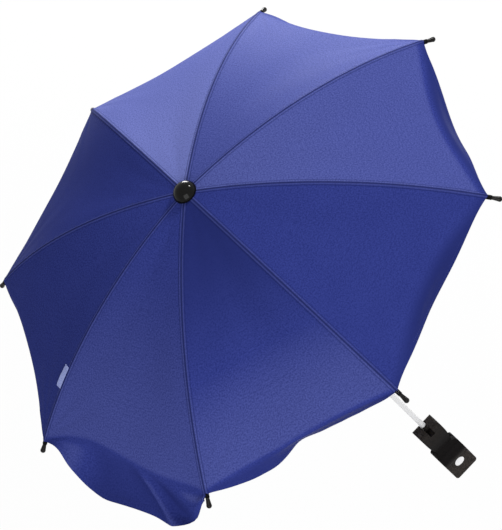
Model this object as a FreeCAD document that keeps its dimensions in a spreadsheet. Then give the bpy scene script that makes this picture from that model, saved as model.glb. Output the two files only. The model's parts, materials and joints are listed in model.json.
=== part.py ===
import FreeCAD, Part
import Sketcher
import math
import os
import re
from FreeCAD import Placement, Rotation, Vector

# Pram parasol: an eight-rib folding canopy on a tube that tilts on a sprung clip.
# Millimetres and degrees. Z runs up the tube, the clip's front faces -Y, and the
# origin is the middle of the clip's jaw bore. Rib 1 points along +X and the others
# follow counter-clockwise from above. Gore k lies between rib k and rib k + 1.

driving = {
    # fits
    "clearance": 0.3,
    "pin_play": 0.1,
    # canopy
    "rib_count": 8,
    "rim_radius": 350,
    "crown_slope": 2.5,
    "rim_slope": 37.5,
    "apex_height": 793,
    "cloth_thickness": 0.8,
    "cloth_eye": 4.5,
    "corner_turn": 1.5,
    # each gore's hem: how far its crease dips in between the tips, the length of the loose
    # valance, how that hangs, in degrees outward from straight down the tube, and how slowly
    # it gains its length from the tips inward
    "hem_dip_1": 17.3,
    "hem_dip_2": 24,
    "hem_dip_3": 19,
    "hem_dip_4": 12.6,
    "hem_dip_5": 14,
    "hem_dip_6": 7.5,
    "hem_dip_7": 14.4,
    "hem_dip_8": 16.2,
    "valance_length_1": 45,
    "valance_length_2": 45,
    "valance_length_3": 45,
    "valance_length_4": 45,
    "valance_length_5": 64,
    "valance_length_6": 46,
    "valance_length_7": 39,
    "valance_length_8": 43,
    "valance_lean_1": -15,
    "valance_lean_2": -6,
    "valance_lean_3": -6,
    "valance_lean_4": -13,
    "valance_lean_5": 58,
    "valance_lean_6": -24,
    "valance_lean_7": -13.5,
    "valance_lean_8": 3.7,
    "valance_taper_1": 1.8,
    "valance_taper_2": 1.8,
    "valance_taper_3": 1.8,
    "valance_taper_4": 1.8,
    "valance_taper_5": 0.8,
    "valance_taper_6": 1.8,
    "valance_taper_7": 1.8,
    "valance_taper_8": 1.8,
    # seam tag
    "tag_width": 9,
    "tag_length": 31,
    "tag_reach": 271.5,
    "tag_offset": 1,
    # ribs
    "rib_width": 3.6,
    "rib_height": 3.2,
    "rib_wall": 0.7,
    "rib_plug": 4,
    "rib_pin": 2,
    "rib_insert": 7,
    "pivot_radius": 11,
    "eye_radius": 2,
    "eye_drop": 1.8,
    "eye_bar": 9,
    "elbow_reach": 165,
    "elbow_drop": 5,
    "elbow_tab": 1.6,
    "elbow_tab_radius": 2.2,
    "elbow_pin_radius": 0.8,
    "rivet_head": 0.4,
    # stretchers
    "strut_height": 3,
    "strut_eye_length": 5,
    "strut_fork_length": 9,
    "fold_angle": 68,
    # rib tips
    "tip_gap": 0.3,
    "tip_length": 15.5,
    "tip_neck_radius": 2.45,
    "tip_neck_length": 4,
    "tip_shoulder_radius": 3.2,
    "tip_ball_radius": 3.45,
    # crown and cap
    "crown_radius": 14,
    "crown_root": 8,
    "crown_below": 5,
    "wire_radius": 0.6,
    "washer_thickness": 0.8,
    "cap_radius": 15.8,
    "cap_lip": 1.4,
    "cap_height": 13.5,
    "stem_length": 14,
    # tube and runner
    "tube_radius": 4,
    "tube_wall": 0.7,
    "collar_half": 4,
    "sleeve_radius": 7,
    "sleeve_length": 42,
    "flange_radius": 8.5,
    "flange_height": 8,
    "keyway_depth": 1.9,
    # catches
    "catch_width": 1.6,
    "catch_reach": 1.6,
    "catch_nose": 1.5,
    "catch_ramp": 7.5,
    "leaf_gap": 1.6,
    "leaf_thickness": 0.6,
    "leaf_length": 24,
    "leaf_above": 4,
    "window_base": 12,
    # foot of the tube
    "tilt_height": 83,
    "foot_eye_radius": 5,
    "foot_neck": 9,
    "foot_plug": 16,
    "tilt_pin_radius": 2,
    # clip
    "bore_radius": 11,
    "pad_thickness": 1.5,
    "pad_angle": 140,
    "jaw_wall": 4,
    "jaw_gap": 0.5,
    "jaw_reach": 50,
    "jaw_face": 13.5,
    "jaw_corner": 8,
    "jaw_edge": 2.5,
    "jaw_width": 42,
    "hinge_height": 27,
    "hinge_pin_radius": 2,
    "hinge_boss_radius": 6,
    "waist_width": 28.6,
    "waist_face": 6.3,
    "waist_back": 4.3,
    "side_wall": 3.8,
    "block_top": 91,
    "block_base": 50,
    "block_sweep": 25,
    "block_front": 15.5,
    "block_back": 6.5,
    "block_width": 36.5,
    "block_corner": 3,
    "lever_splay": 27,
    "lever_height": 25,
    "lever_plate": 3.2,
    "lever_ear": 4,
    "lever_ear_radius": 3.8,
    "badge_height": -19,
    "badge_radius": 8,
    "badge_recess": 0.8,
    "badge_dome": 1.6,
    # clip spring
    "spring_radius": 3.4,
    "spring_wire": 1.2,
    "spring_pitch": 1.8,
    "spring_turns": 4,
    "spring_leg": 12,
}


doc = FreeCAD.newDocument("pram_parasol")
sheet = doc.addObject("Spreadsheet::Sheet", "sizes")
known = {}


def remember(name, value):
    row = len(known) + 1
    sheet.set("A%d" % row, name)
    sheet.set("B%d" % row, repr(value))
    sheet.setAlias("B%d" % row, name)
    known[name] = float(value)


for name, value in driving.items():
    remember(name, value)
doc.recompute()


def bound(text):
    # Sizes are written by name alone; here each name is pointed at its cell.
    return re.sub(r"[a-z]\w*", lambda m: "sizes." + m[0] if m[0] in known else m[0], str(text))


def value_of(text):
    return float(sheet.evalExpression(re.sub(r"\bsizes\.", "", bound(text))))


# Dome and linkage
# The cloth over a rib is an arc that leaves the apex at crown_slope and reaches the rim
# at rim_slope; the rib is a concentric arc under it. The elbow is as far from the crown
# pivot as from the runner pivot, so a stretcher turns twice as far as its rib.
sin_of = lambda angle: math.sin(math.radians(angle))
cos_of = lambda angle: math.cos(math.radians(angle))
tan_of = lambda angle: math.tan(math.radians(angle))
pitch = 360 / known["rib_count"]

remember("dome_radius", known["rim_radius"] / (sin_of(known["rim_slope"]) - sin_of(known["crown_slope"])))
remember("centre_x", -known["dome_radius"] * sin_of(known["crown_slope"]))
remember("centre_z", known["apex_height"] - known["dome_radius"] * cos_of(known["crown_slope"]))
remember("cloth_under", known["dome_radius"] - known["cloth_thickness"])
# The flat gores fall away on both sides of a rib, so its top edges set how close it lies.
remember("rib_bed", known["rib_width"] / 2 * tan_of(pitch / 2) * sin_of(known["rim_slope"]))
remember("rib_top", known["cloth_under"] - known["clearance"] - known["rib_bed"])
remember("rib_middle", known["rib_top"] - known["rib_height"] / 2)
remember("rib_bottom", known["rib_top"] - known["rib_height"])


def slope_at(radius, reach):
    return math.degrees(math.asin((reach - known["centre_x"]) / radius))


def on_arc(radius, slope):
    return (
        known["centre_x"] + radius * sin_of(slope),
        known["centre_z"] + radius * cos_of(slope),
    )


eye_line = known["rib_middle"] - known["eye_drop"]
elbow_line = known["rib_middle"] - known["elbow_drop"]
remember("elbow_slope", slope_at(elbow_line, known["elbow_reach"]))
remember("elbow_z", on_arc(elbow_line, known["elbow_slope"])[1])
remember("crown_pivot_z", on_arc(eye_line, slope_at(eye_line, known["pivot_radius"]))[1])
remember("runner_pivot_z", 2 * known["elbow_z"] - known["crown_pivot_z"])
strut_run = known["elbow_reach"] - known["pivot_radius"]
strut_rise = known["elbow_z"] - known["runner_pivot_z"]
remember("strut_length", math.hypot(strut_run, strut_rise))
strut_pitch = math.degrees(math.atan2(strut_rise, strut_run))
remember("channel_start", slope_at(known["rib_middle"], known["crown_radius"] + 1))
rim_end = slope_at(known["rib_middle"], known["rim_radius"])
arc_degree = math.degrees(1 / known["rib_middle"])
remember("tip_slope", rim_end + known["tip_gap"] * arc_degree)
remember("channel_end", known["tip_slope"] - known["clearance"] * arc_degree)
remember("plug_start", known["channel_end"] - known["rib_plug"] * arc_degree)
remember("pin_end", known["tip_slope"] + known["rib_insert"] * arc_degree)


def height_at(radius, reach):
    return on_arc(radius, slope_at(radius, reach))[1]


remember("cap_base", known["apex_height"] + known["clearance"])
remember("cap_edge", height_at(known["dome_radius"], known["cap_radius"]) + known["clearance"])
remember("washer_top", height_at(known["cloth_under"], known["crown_radius"]) - known["clearance"])
remember("crown_top", known["washer_top"] - known["washer_thickness"])
remember("tube_base", known["tilt_height"] + known["foot_neck"])
remember("sleeve_base", known["runner_pivot_z"] - known["collar_half"] - known["sleeve_length"])
lift = sin_of(strut_pitch + known["fold_angle"]) - sin_of(strut_pitch)
remember("runner_travel", 2 * known["strut_length"] * lift)
remember("window_height", known["catch_nose"] + known["catch_ramp"] + 2 * known["clearance"])
window_top = known["sleeve_base"] + known["window_base"] + known["window_height"]
remember("closed_catch_height", window_top - known["runner_travel"])
doc.recompute()


# Sketch helpers
def start_body(label):
    body = doc.addObject("PartDesign::Body", label)
    body.Label = label
    return body


def origin_of(body, role):
    return next(f for f in body.Origin.OriginFeatures if f.Role == role)


def new_sketch(body, plane, lift="0"):
    sketch = body.newObject("Sketcher::SketchObject", body.Name + "_sketch")
    sketch.AttachmentSupport = [(origin_of(body, plane), "")]
    sketch.MapMode = "FlatFace"
    sketch.setExpression("AttachmentOffset.Base.z", bound(lift))
    return sketch


def hold(sketch, kind, *where):
    *place, text = where
    index = sketch.addConstraint(Sketcher.Constraint(kind, *place, value_of(text)))
    sketch.setExpression("Constraints[%d]" % index, bound(text))


def place_point(sketch, edge, end, across, up):
    hold(sketch, "DistanceX", -1, 1, edge, end, across)
    hold(sketch, "DistanceY", -1, 1, edge, end, up)


def arc_between(a, b, radius, side):
    # The minor arc from a to b, with its centre to the left or right of that way.
    half = (b - a) * 0.5
    across = Vector(-half.y, half.x, 0).normalize()
    depth = math.sqrt(max(radius**2 - half.Length**2, 0))
    centre = a + half + across * (depth if side == "left" else -depth)
    first, last = (a, b) if side == "left" else (b, a)
    angles = [math.atan2(p.y - centre.y, p.x - centre.x) for p in (first, last)]
    return Part.ArcOfCircle(Part.Circle(centre, Vector(0, 0, 1), radius), *angles)


def outline(sketch, corners):
    # A closed outline. A corner is (across, up), and (across, up, radius, side) makes the
    # edge that leads to it an arc.
    spots = [Vector(value_of(c[0]), value_of(c[1]), 0) for c in corners]
    edges = []
    for i, corner in enumerate(corners):
        a, b = spots[i - 1], spots[i]
        curved = len(corner) == 4
        shape = arc_between(a, b, value_of(corner[2]), corner[3]) if curved else Part.LineSegment(a, b)
        edge = sketch.addGeometry(shape)
        backward = curved and corner[3] == "right"
        edges.append((edge, 2 if backward else 1, 1 if backward else 2))
    for i, corner in enumerate(corners):
        edge, start, end = edges[i]
        following = edges[(i + 1) % len(edges)]
        sketch.addConstraint(Sketcher.Constraint("Coincident", edge, end, following[0], following[1]))
        place_point(sketch, edge, end, corner[0], corner[1])
        if len(corner) == 4:
            hold(sketch, "Radius", edge, corner[2])


def ring(sketch, across, up, radius):
    centre = Vector(value_of(across), value_of(up), 0)
    edge = sketch.addGeometry(Part.Circle(centre, Vector(0, 0, 1), value_of(radius)))
    place_point(sketch, edge, 3, across, up)
    hold(sketch, "Radius", edge, radius)


def box_corners(left, right, low, high):
    return [(left, low), (right, low), (right, high), (left, high)]


def extrude(body, sketch, length, cut=False, both_ways=True, turned=False):
    kind = "PartDesign::Pocket" if cut else "PartDesign::Pad"
    feature = body.newObject(kind, body.Name + ("_cut" if cut else "_pad"))
    feature.Profile = sketch
    feature.SideType = "Symmetric" if both_ways else "One side"
    feature.Reversed = turned
    feature.setExpression("Length", bound(length))
    return feature


def revolve(body, sketch, axis):
    feature = body.newObject("PartDesign::Revolution", body.Name + "_turned")
    feature.Profile = sketch
    feature.ReferenceAxis = (origin_of(body, axis), [""])
    feature.Angle = 360
    return feature


def repeat_round(body, feature):
    pattern = body.newObject("PartDesign::PolarPattern", body.Name + "_round")
    pattern.Originals = [feature]
    pattern.Axis = (origin_of(body, "Z_Axis"), [""])
    pattern.Angle = 360
    pattern.setExpression("Occurrences", bound("rib_count"))
    body.Tip = pattern


def solid(body, plane, corners, length, **how):
    sketch = new_sketch(body, plane, how.pop("lift", "0"))
    outline(sketch, corners)
    return extrude(body, sketch, length, **how)


def disc(body, plane, across, up, radius, length, **how):
    sketch = new_sketch(body, plane, how.pop("lift", "0"))
    ring(sketch, across, up, radius)
    return extrude(body, sketch, length, **how)


def primitive(kind, label, place=(0, 0, 0), turn=None, **fields):
    item = doc.addObject("Part::" + kind, label)
    item.Label = label
    item.Placement = Placement(Vector(), turn or Rotation())
    for axis, text in zip("xyz", place):
        item.setExpression("Placement.Base." + axis, bound(text))
    for field, text in fields.items():
        item.setExpression(field, bound(text))
    return item


def combine(kind, label, base, tool):
    item = doc.addObject("Part::" + kind, label)
    item.Label = label
    item.Base = base
    item.Tool = tool
    return item


def feature(label, shape):
    item = doc.addObject("Part::Feature", label)
    item.Label = label
    item.Shape = shape
    return item


def around(number):
    return Rotation(Vector(0, 0, 1), (number - 1) * pitch)


along_x = Rotation(Vector(0, 1, 0), 90)


# Clip
def jaw_corners(sign):
    # One jaw from the parting plane round its outside; sign is -1 in front, 1 behind.
    face = "%d * jaw_face" % sign
    gap = "%d * jaw_gap / 2" % sign
    shell = "(bore_radius + pad_thickness + jaw_wall)"
    seat = "(bore_radius + pad_thickness)"
    turn, back = ("right", "left") if sign < 0 else ("left", "right")
    return {
        "tip": [
            (gap, "-jaw_reach"),
            ("%d * (jaw_face - jaw_edge)" % sign, "-jaw_reach"),
            (face, "-jaw_reach + jaw_edge", "jaw_edge", turn),
            (face, "-sqrt(%s^2 - jaw_face^2)" % shell),
        ],
        "bulge": ("%d * (waist_face + 3)" % sign, "sqrt(%s^2 - (waist_face + 3)^2)" % shell, shell, turn),
        "seat": [
            (gap, "sqrt(%s^2 - (jaw_gap / 2)^2)" % seat),
            ("%d * %s" % (sign, seat), "0", seat, back),
            (gap, "-sqrt(%s^2 - (jaw_gap / 2)^2)" % seat, seat, back),
        ],
    }


def level_radius(across, along):
    # The radius of an arc that covers these two distances and ends parallel to the second.
    return "((%s)^2 + (%s)^2) / (2 * (%s))" % (across, along, across)


jaw_shoulder = (
    "jaw_width",
    "hinge_height - hinge_boss_radius - 5",
    level_radius("(jaw_width - waist_width) / 2", "hinge_boss_radius + 2"),
    "right",
)


def trim_sides(body, steps):
    # Narrows a piece to the half widths given from top to bottom, on both sides.
    for side in (1, -1):
        far = "%d * jaw_width" % side
        inner = [("%d * (%s) / 2" % (side, width), height, *arc) for width, height, *arc in steps]
        corners = [(far, steps[0][1]), *inner, (far, steps[-1][1])]
        if side < 0:
            swap = {"left": "right", "right": "left"}
            corners = [(*c[:3], swap[c[3]]) if len(c) == 4 else c for c in corners]
        solid(body, "XZ_Plane", corners, "4 * jaw_width", cut=True)


def make_clip_body():
    body = start_body("clip_body")
    jaw = jaw_corners(-1)
    sweep_top = "block_base + block_sweep"
    sweep_rise = "(block_base + block_sweep - hinge_height)"
    corners = [
        *jaw["tip"],
        jaw["bulge"],
        ("-waist_face", "hinge_height"),
        ("-block_front", sweep_top, level_radius("(block_front - waist_face)", sweep_rise), "right"),
        ("-block_front", "block_top - block_corner"),
        ("-block_front + block_corner", "block_top", "block_corner", "right"),
        ("block_back - block_corner", "block_top"),
        ("block_back", "block_top - block_corner", "block_corner", "right"),
        ("block_back", "block_base + 4"),
        ("0", "block_base - 4"),
        ("0", "hinge_height - hinge_boss_radius"),
        ("-jaw_gap / 2", "hinge_height - hinge_boss_radius"),
        *jaw["seat"],
    ]
    solid(body, "YZ_Plane", corners, "jaw_width")
    disc(body, "YZ_Plane", "0", "hinge_height", "hinge_boss_radius", "waist_width")
    low = "hinge_height - hinge_boss_radius"
    hollow = box_corners("-waist_back", "2 * hinge_boss_radius", low, "block_base - 6")
    solid(body, "YZ_Plane", hollow, "waist_width - 2 * side_wall", cut=True)
    trim_sides(
        body,
        [
            ("block_width - 2 * block_corner", "block_top + 1"),
            ("block_width - 2 * block_corner", "block_top"),
            ("block_width", "block_top - block_corner", "block_corner", "right"),
            ("block_width", sweep_top),
            ("waist_width", "hinge_height", level_radius("(block_width - waist_width) / 2", sweep_rise), "right"),
            ("waist_width", "hinge_height - 3"),
            jaw_shoulder,
            ("jaw_width", "-jaw_reach + jaw_corner"),
            ("jaw_width - 2 * jaw_corner", "-jaw_reach", "jaw_corner", "right"),
            ("jaw_width - 2 * jaw_corner", "-jaw_reach - 1"),
        ],
    )
    slot = box_corners(
        "-tube_radius - clearance",
        "tube_radius + clearance",
        "tilt_height - foot_eye_radius - clearance",
        "block_top + 1",
    )
    solid(body, "XZ_Plane", slot, "4 * block_front", cut=True)
    disc(body, "YZ_Plane", "0", "tilt_height", "tilt_pin_radius", "2 * jaw_width", cut=True)
    disc(body, "YZ_Plane", "0", "hinge_height", "hinge_pin_radius", "2 * jaw_width", cut=True)
    recess = {"lift": "jaw_face - badge_recess", "cut": True, "both_ways": False, "turned": True}
    disc(body, "XZ_Plane", "0", "badge_height", "badge_radius + pin_play", "jaw_face", **recess)
    return body


def make_clip_lever():
    body = start_body("clip_lever")
    jaw = jaw_corners(1)
    # The handle plate stands off the pivot by the spring's coil and leans back by the splay.
    stand_off = "(spring_radius + spring_wire / 2 + clearance)"
    foot_y = "%s * cos(lever_splay)" % stand_off
    foot_z = "(hinge_height - %s * sin(lever_splay))" % stand_off
    slant = "lever_height * tan(lever_splay)"
    thick_y = "lever_plate * cos(lever_splay)"
    thick_z = "lever_plate * sin(lever_splay)"
    corners = [
        *jaw["tip"],
        jaw["bulge"],
        ("%s + %s + 1" % (foot_y, thick_y), "%s - %s" % (foot_z, thick_z)),
        ("%s + %s + %s" % (foot_y, thick_y, slant), "%s - %s + lever_height" % (foot_z, thick_z)),
        ("%s + %s" % (foot_y, slant), "%s + lever_height" % foot_z),
        (foot_y, foot_z),
        ("jaw_gap / 2 + 3.5", "hinge_height - hinge_boss_radius"),
        ("jaw_gap / 2", "hinge_height - hinge_boss_radius - 3"),
        *jaw["seat"],
    ]
    solid(body, "YZ_Plane", corners, "jaw_width")
    trim_sides(
        body,
        [
            ("waist_width", "hinge_height + 2 * lever_height"),
            ("waist_width", "hinge_height - 3"),
            jaw_shoulder,
            ("jaw_width", "-jaw_reach + jaw_corner"),
            ("jaw_width - 2 * jaw_corner", "-jaw_reach", "jaw_corner", "right"),
            ("jaw_width - 2 * jaw_corner", "-jaw_reach - 1"),
        ],
    )
    inside = "(waist_width / 2 - side_wall - clearance - lever_ear / 2)"
    for side in (1, -1):
        ear = {"lift": "%d * %s" % (side, inside)}
        disc(body, "YZ_Plane", "0", "hinge_height", "lever_ear_radius", "lever_ear", **ear)
        neck = [
            ("0", "hinge_height - lever_ear_radius"),
            ("jaw_gap / 2 + 5", "hinge_height - lever_ear_radius - 2"),
            (foot_y + " + 2", foot_z + " + 4"),
            ("0", "hinge_height + lever_ear_radius"),
        ]
        solid(body, "YZ_Plane", neck, "lever_ear", **ear)
    disc(body, "YZ_Plane", "0", "hinge_height", "hinge_pin_radius + pin_play", "2 * jaw_width", cut=True)
    # The front arm's hinge lobes turn in round reliefs at both edges of the handle.
    wall = "(side_wall + clearance)"
    for side in (1, -1):
        relief = {"lift": "%d * (waist_width / 2 + 1 - (%s + 1) / 2)" % (side, wall), "cut": True}
        disc(body, "YZ_Plane", "0", "hinge_height", "hinge_boss_radius + clearance", wall + " + 1", **relief)
    return body


def make_jaw_pad(label, sign):
    body = start_body(label)
    half = "(pad_angle / 2)"
    inner, outer = "bore_radius", "(bore_radius + pad_thickness)"
    turn, back = ("right", "left") if sign < 0 else ("left", "right")
    spot = lambda radius, way: (
        "%d * %s * cos(%s)" % (sign, radius, half),
        "%d * %s * sin(%s)" % (way, radius, half),
    )
    corners = [
        spot(inner, -1),
        spot(outer, -1),
        ("%d * %s" % (sign, outer), "0", outer, turn),
        (*spot(outer, 1), outer, turn),
        spot(inner, 1),
        ("%d * %s" % (sign, inner), "0", inner, back),
        (*spot(inner, -1), inner, back),
    ]
    solid(body, "YZ_Plane", corners[1:], "jaw_width - 2 * jaw_corner")
    return body


def make_badge_disc():
    # A plain domed disc, turned about the line through its middle and set in the jaw's face.
    body = start_body("badge_disc")
    rise = "(badge_recess + badge_dome)"
    sphere = "((badge_radius^2 + badge_dome^2) / (2 * badge_dome))"
    corners = [
        ("0", "0"),
        ("badge_radius", "0"),
        ("badge_radius", "badge_recess"),
        ("0", rise, sphere, "left"),
    ]
    sketch = new_sketch(body, "XZ_Plane")
    outline(sketch, corners)
    revolve(body, sketch, "Z_Axis")
    seat = Vector(0, -known["jaw_face"] + known["badge_recess"], known["badge_height"])
    body.Placement = Placement(seat, Rotation(Vector(1, 0, 0), 90))
    return body


def biarc(a, heading_a, b, heading_b):
    # Two arcs that leave a and reach b along the given headings.
    span = b - a
    both = heading_a + heading_b
    straight = 2 * (1 - heading_a.dot(heading_b))
    reach = (-span.dot(both) + math.sqrt(span.dot(both) ** 2 + straight * span.dot(span))) / straight
    joint = (a + heading_a * reach + b - heading_b * reach) * 0.5
    return [bend(a, heading_a, joint), bend(b, heading_b * -1, joint, True)]


def bend(a, heading, b, backward=False):
    chord = b - a
    along = Vector(chord).normalize()
    aside = (heading - along * heading.dot(along)).normalize()
    sweep = math.acos(max(-1, min(1, heading.dot(along))))
    middle = a + chord * 0.5 + aside * (chord.Length / 2 * math.tan(sweep / 2))
    return Part.Arc(b, middle, a) if backward else Part.Arc(a, middle, b)


def make_clip_spring():
    # One wire: a leg on the front arm, turns round the pin, and a leg along the lever.
    radius = known["spring_radius"]
    turning = known["spring_turns"] * 360 + 180 - known["lever_splay"]
    rise = known["spring_pitch"] / 360
    width = turning * rise

    def spot(angle):
        at = 180 + angle
        height = known["hinge_height"] + radius * sin_of(at)
        return Vector(angle * rise - width / 2, radius * cos_of(at), height)

    def heading(angle):
        at = math.radians(180 + angle)
        way = Vector(math.degrees(rise), -radius * math.sin(at), radius * math.cos(at))
        return way.normalize()

    count = math.ceil(turning / 90)
    steps = [turning * i / count for i in range(count + 1)]
    arcs = []
    for a, b in zip(steps, steps[1:]):
        arcs += biarc(spot(a), heading(a), spot(b), heading(b))
    leg = known["spring_leg"]
    first = Part.LineSegment(spot(0) - heading(0) * leg, spot(0))
    last = Part.LineSegment(spot(turning), spot(turning) + heading(turning) * leg)
    path = Part.Wire([piece.toShape() for piece in (first, *arcs, last)])
    section = Part.Circle(first.StartPoint, heading(0), known["spring_wire"] / 2)
    marks = path.discretize(Number=600)
    apart = math.ceil(radius * math.pi / (path.Length / len(marks)))
    near = min(a.distanceToPoint(b) for i, a in enumerate(marks) for b in marks[i + apart :])
    print("clip spring: least gap to itself %.2f mm" % (near - known["spring_wire"]))
    return feature("clip_spring", path.makePipeShell([Part.Wire(section.toShape())], True, False))


def make_pins():
    pin_length = "waist_width"
    clip_pin = primitive(
        "Cylinder",
        "clip_pin",
        ("-%s / 2" % pin_length, "0", "hinge_height"),
        along_x,
        Radius="hinge_pin_radius",
        Height=pin_length,
    )
    tilt_pin = primitive(
        "Cylinder",
        "tilt_pin",
        ("-block_width / 2", "0", "tilt_height"),
        along_x,
        Radius="tilt_pin_radius",
        Height="block_width",
    )
    return [clip_pin, tilt_pin]


# Tube and its foot
def make_shaft_tube():
    reach = "crown_top - tube_base"
    base = ("0", "0", "tube_base")
    tube = primitive("Cylinder", "tube_outside", base, Radius="tube_radius", Height=reach)
    bore = primitive("Cylinder", "tube_bore", base, Radius="tube_radius - tube_wall", Height=reach)
    tube = combine("Cut", "tube_wall_left", tube, bore)
    for label, top in (("open_window", "sleeve_base"), ("closed_window", "closed_catch_height")):
        low = "%s - window_height" % top
        window = primitive(
            "Box",
            label,
            ("-catch_width / 2 - clearance", "-2 * tube_radius", low),
            Length="catch_width + 2 * clearance",
            Width="2 * tube_radius",
            Height="window_height",
        )
        tube = combine("Cut", "tube_with_" + label, tube, window)
    tube.Label = "shaft_tube"
    return tube


def make_shaft_foot():
    body = start_body("shaft_foot")
    wide = "2 * tube_radius"
    disc(body, "YZ_Plane", "0", "tilt_height", "foot_eye_radius", wide)
    solid(body, "YZ_Plane", box_corners("-tube_radius", "tube_radius", "tilt_height", "tube_base"), wide)
    plug = {"lift": "tube_base", "both_ways": False}
    disc(body, "XY_Plane", "0", "0", "tube_radius - tube_wall", "foot_plug", **plug)
    disc(body, "YZ_Plane", "0", "tilt_height", "tilt_pin_radius + pin_play", "2 * " + wide, cut=True)
    return body


def make_catch(label, top):
    # A pawl: a leaf inside the tube with a ramped nose that stands out of the window.
    body = start_body(label)
    leaf = "-(leaf_gap + leaf_thickness)"
    nose = "-(tube_radius + catch_reach)"
    corners = [
        ("-leaf_gap", top + " - leaf_length"),
        ("-leaf_gap", top + " + leaf_above"),
        (leaf, top + " + leaf_above"),
        (leaf, top + " - clearance"),
        (nose, top + " - clearance"),
        (nose, top + " - clearance - catch_nose"),
        (leaf, top + " - clearance - catch_nose - catch_ramp"),
        (leaf, top + " - leaf_length"),
    ]
    solid(body, "YZ_Plane", corners, "catch_width")
    return body


# Crown, runner and cap
def cut_notches(body, height, depth):
    # Radial notches, one to a rib, from the root circle out past the rim.
    half = "(rib_width / 2 + clearance)"
    sketch = new_sketch(body, "XY_Plane", height)
    outline(sketch, box_corners("crown_root", "crown_radius + 1", "-" + half, half))
    repeat_round(body, extrude(body, sketch, depth, cut=True))


def make_crown():
    body = start_body("crown")
    low = "crown_pivot_z - crown_below"
    groove = "(wire_radius + pin_play)"
    corners = [
        ("tube_radius", low),
        ("pivot_radius - " + groove, low),
        ("pivot_radius - " + groove, "crown_pivot_z + " + groove),
        ("pivot_radius + " + groove, "crown_pivot_z + " + groove),
        ("pivot_radius + " + groove, low),
        ("crown_radius", low),
        ("crown_radius", "crown_top"),
        ("tube_radius", "crown_top"),
    ]
    sketch = new_sketch(body, "XZ_Plane")
    outline(sketch, corners)
    revolve(body, sketch, "Z_Axis")
    cut_notches(body, "crown_pivot_z", "4 * crown_below")
    return body


def make_runner():
    body = start_body("runner")
    low = "runner_pivot_z - collar_half"
    corners = [
        ("tube_radius + clearance", "sleeve_base"),
        ("flange_radius", "sleeve_base"),
        ("flange_radius", "sleeve_base + flange_height / 2"),
        ("sleeve_radius", "sleeve_base + flange_height"),
        ("sleeve_radius", low),
        ("crown_radius", low),
        ("crown_radius", "runner_pivot_z + collar_half"),
        ("tube_radius + clearance", "runner_pivot_z + collar_half"),
    ]
    sketch = new_sketch(body, "XZ_Plane")
    outline(sketch, corners)
    revolve(body, sketch, "Z_Axis")
    cut_notches(body, "runner_pivot_z", "2 * collar_half + 1")
    half = "(catch_width / 2 + clearance)"
    keyway = box_corners("-" + half, half, "-tube_radius - keyway_depth", "0")
    channel = {"lift": "sleeve_base - 1", "cut": True, "both_ways": False, "turned": True}
    solid(body, "XY_Plane", keyway, "sleeve_length + 2 * collar_half + 2", **channel)
    low = "sleeve_base + window_base"
    window = box_corners("-" + half, half, low, low + " + window_height")
    outward = {"lift": "tube_radius", "cut": True, "both_ways": False, "turned": True}
    solid(body, "XZ_Plane", window, "crown_radius", **outward)
    return body


def make_top_cap():
    body = start_body("top_cap")
    stem = "(tube_radius - tube_wall - pin_play)"
    crown_rise = "(cap_height - cap_lip)"
    dome = "((cap_radius^2 + %s^2) / (2 * %s))" % (crown_rise, crown_rise)
    corners = [
        ("0", "apex_height - stem_length"),
        (stem, "apex_height - stem_length"),
        (stem, "cap_base"),
        ("cap_radius", "cap_edge"),
        ("cap_radius", "cap_edge + cap_lip"),
        ("0", "cap_edge + cap_height", dome, "left"),
    ]
    sketch = new_sketch(body, "XZ_Plane")
    outline(sketch, corners)
    revolve(body, sketch, "Z_Axis")
    return body


def make_crown_trim():
    wire = primitive(
        "Torus", "crown_wire", ("0", "0", "crown_pivot_z"), Radius1="pivot_radius", Radius2="wire_radius"
    )
    place = ("0", "0", "crown_top")
    thick = "washer_thickness"
    plate = primitive("Cylinder", "washer_disc", place, Radius="crown_radius - 1", Height=thick)
    hole = primitive("Cylinder", "washer_hole", place, Radius="tube_radius", Height=thick)
    return [wire, combine("Cut", "canopy_washer", plate, hole)]


# Ribs
# A straight hole has to clear the bow of the ring wire across the rib's width.
wire_hole = "wire_radius + pin_play + pivot_radius - sqrt(pivot_radius^2 - rib_width^2 / 4)"


def arc_corner(radius, slope):
    return ("centre_x + %s * sin(%s)" % (radius, slope), "centre_z + %s * cos(%s)" % (radius, slope))


def arc_band(outer, inner, start, end):
    return [
        arc_corner(outer, start),
        (*arc_corner(outer, end), outer, "right"),
        arc_corner(inner, end),
        (*arc_corner(inner, start), inner, "left"),
    ]


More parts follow.
